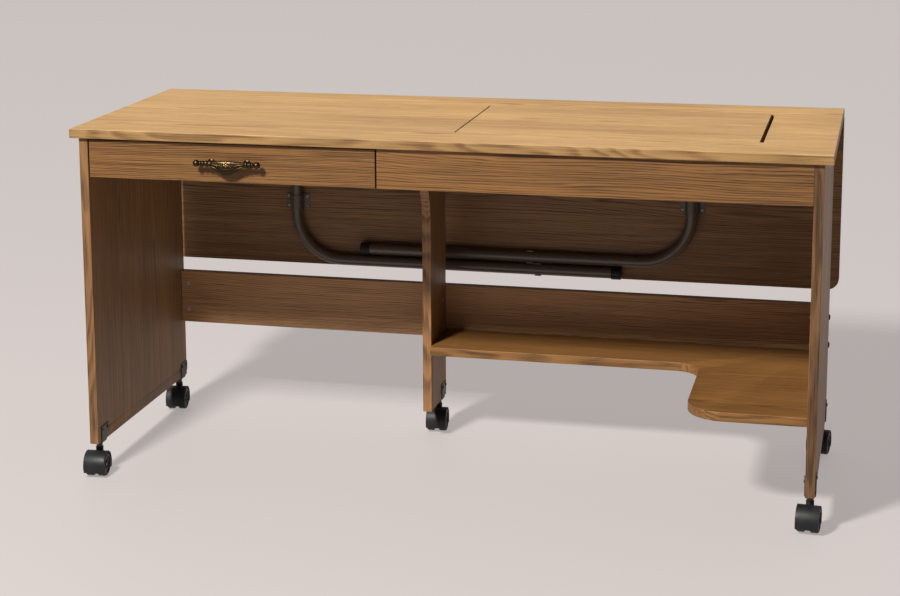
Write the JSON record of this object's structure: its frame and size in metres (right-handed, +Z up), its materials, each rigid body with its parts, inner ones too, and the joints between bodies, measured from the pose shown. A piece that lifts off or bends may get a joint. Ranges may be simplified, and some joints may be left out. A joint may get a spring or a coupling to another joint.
{
  "type": "sewing table",
  "caption": "Oak-laminate sewing table with a machine cut-out and insert, a drawer, a knee shelf, a rear drop leaf on folding tube legs, and swivel casters.",
  "frame": {"origin": "on the floor, in the middle of the overall width and of the overall depth (drawer pull to hanging leaf)", "axes": "+X along the width to the sitter's right, +Y from front to back, +Z up"},
  "size_m": [1.54, 0.627, 0.749],
  "materials": {
    "oak_top": "satin laminate, medium oak grain along the width",
    "oak_board": "satin laminate, medium oak grain",
    "drawer_box": "sealed plywood",
    "zinc_steel": "zinc plated",
    "dark_steel": "dark bronze lacquer, satin",
    "aged_brass": "antique brass, worn on the high points",
    "leg_tube": "grey-brown enamel, satin",
    "black_plastic": "moulded, satin",
    "wheel_nylon": "moulded nylon, scuffed treads",
    "roller_nylon": "natural nylon"
  },
  "bodies": {
    "frame": {"tabletop": "oak_top", "left_panel": "oak_board", "center_panel": "oak_board", "right_panel": "oak_board", "rear_rail": "oak_board", "knee_shelf": "oak_top", "false_front": "oak_board", "insert_ledges_long": "oak_board", "insert_ledges_short": "oak_board", "machine_platform": "oak_board", "platform_hangers": "zinc_steel", "corner_brackets": "zinc_steel", "frame_screws": "zinc_steel", "connector_bolts": "dark_steel", "barrel_nuts": "zinc_steel", "shelf_screws": "dark_steel", "cabinet_runner_left": "zinc_steel", "cabinet_runner_right": "zinc_steel", "hinge_leaves_top": "zinc_steel", "caster_brackets": "dark_steel", "caster_bracket_screws": "dark_steel", "caster_stems": "dark_steel"},
    "machine_insert": {"machine_insert": "oak_top"},
    "rear_leaf": {"rear_leaf": "oak_board", "hinge_leaves_rear": "zinc_steel", "hinge_pins": "zinc_steel", "leg_saddles": "dark_steel", "leg_clips": "zinc_steel", "leaf_screws": "zinc_steel"},
    "left_leg": {"left_leg_tube": "leg_tube", "left_foot_cap": "black_plastic"},
    "right_leg": {"right_leg_tube": "leg_tube", "right_foot_cap": "black_plastic"},
    "drawer": {"drawer_front": "oak_board", "drawer_left_side": "drawer_box", "drawer_right_side": "drawer_box", "drawer_back": "drawer_box", "drawer_bottom": "drawer_box", "drawer_pull": "aged_brass", "drawer_screws": "zinc_steel", "drawer_runner_left": "zinc_steel", "drawer_runner_right": "zinc_steel"},
    "cabinet_rollers": {"cabinet_rollers": "roller_nylon"},
    "drawer_rollers": {"drawer_rollers": "roller_nylon"},
    "caster_lf": {"caster_hood_lf": "black_plastic", "caster_axle_lf": "zinc_steel"},
    "wheels_lf": {"caster_wheels_lf": "wheel_nylon"},
    "caster_lb": {"caster_hood_lb": "black_plastic", "caster_axle_lb": "zinc_steel"},
    "wheels_lb": {"caster_wheels_lb": "wheel_nylon"},
    "caster_rf": {"caster_hood_rf": "black_plastic", "caster_axle_rf": "zinc_steel"},
    "wheels_rf": {"caster_wheels_rf": "wheel_nylon"},
    "caster_rb": {"caster_hood_rb": "black_plastic", "caster_axle_rb": "zinc_steel"},
    "wheels_rb": {"caster_wheels_rb": "wheel_nylon"},
    "caster_c": {"caster_hood_c": "black_plastic", "caster_axle_c": "zinc_steel"},
    "wheels_c": {"caster_wheels_c": "wheel_nylon"}
  },
  "joints": [
    {"name": "drawer_slide", "type": "slide", "parent": "frame", "child": "drawer", "axis": [0, -1, 0], "range_m": [0, 0.3]},
    {"name": "insert_lift", "type": "slide", "parent": "frame", "child": "machine_insert", "axis": [0, 0, 1], "range_m": [0, 0.06]},
    {"name": "leaf_hinge", "type": "hinge", "parent": "frame", "child": "rear_leaf", "pos_m": [0, 0.291, 0.7265], "axis": [1, 0, 0], "range_deg": [0, 90]},
    {"name": "left_leg_swing", "type": "hinge", "parent": "rear_leaf", "child": "left_leg", "pos_m": [-0.462, 0.2793, 0.4945], "axis": [0, 0, -1], "range_deg": [0, 4.4]},
    {"name": "right_leg_swing", "type": "hinge", "parent": "rear_leaf", "child": "right_leg", "pos_m": [0.449, 0.2793, 0.523], "axis": [0, 0, 1], "range_deg": [0, 3]},
    {"name": "cabinet_roller_spin", "type": "hinge", "parent": "frame", "child": "cabinet_rollers", "pos_m": [-0.729, -0.2525, 0.6648], "axis": [1, 0, 0], "continuous": true},
    {"name": "drawer_roller_spin", "type": "hinge", "parent": "drawer", "child": "drawer_rollers", "pos_m": [-0.7283, 0.1195, 0.6644], "axis": [1, 0, 0], "continuous": true},
    {"name": "swivel_lf", "type": "hinge", "parent": "frame", "child": "caster_lf", "pos_m": [-0.7435, -0.2595, 0.05], "axis": [0, 0, 1], "continuous": true},
    {"name": "roll_lf", "type": "hinge", "parent": "caster_lf", "child": "wheels_lf", "pos_m": [-0.74224, -0.27746, 0.025], "axis": [0.9976, 0.0698, 0], "continuous": true},
    {"name": "swivel_lb", "type": "hinge", "parent": "frame", "child": "caster_lb", "pos_m": [-0.7435, 0.2245, 0.05], "axis": [0, 0, 1], "continuous": true},
    {"name": "roll_lb", "type": "hinge", "parent": "caster_lb", "child": "wheels_lb", "pos_m": [-0.74131, 0.20663, 0.025], "axis": [0.9925, 0.1219, 0], "continuous": true},
    {"name": "swivel_rf", "type": "hinge", "parent": "frame", "child": "caster_rf", "pos_m": [0.7435, -0.2595, 0.05], "axis": [0, 0, 1], "continuous": true},
    {"name": "roll_rf", "type": "hinge", "parent": "caster_rf", "child": "wheels_rf", "pos_m": [0.74193, -0.27743, 0.025], "axis": [0.9962, -0.0872, 0], "continuous": true},
    {"name": "swivel_rb", "type": "hinge", "parent": "frame", "child": "caster_rb", "pos_m": [0.7435, 0.2245, 0.05], "axis": [0, 0, 1], "continuous": true},
    {"name": "roll_rb", "type": "hinge", "parent": "caster_rb", "child": "wheels_rb", "pos_m": [0.74099, 0.20667, 0.025], "axis": [0.9903, -0.1392, 0], "continuous": true},
    {"name": "swivel_c", "type": "hinge", "parent": "frame", "child": "caster_c", "pos_m": [-0.1075, 0.1995, 0.05], "axis": [0, 0, 1], "continuous": true},
    {"name": "roll_c", "type": "hinge", "parent": "caster_c", "child": "wheels_c", "pos_m": [-0.10624, 0.18154, 0.025], "axis": [0.9976, 0.0698, 0], "continuous": true}
  ],
  "couplings": [
    {"joint": "cabinet_roller_spin", "follows": "drawer_slide", "rad_per_m": 125},
    {"joint": "drawer_roller_spin", "follows": "drawer_slide", "rad_per_m": 125}
  ]
}
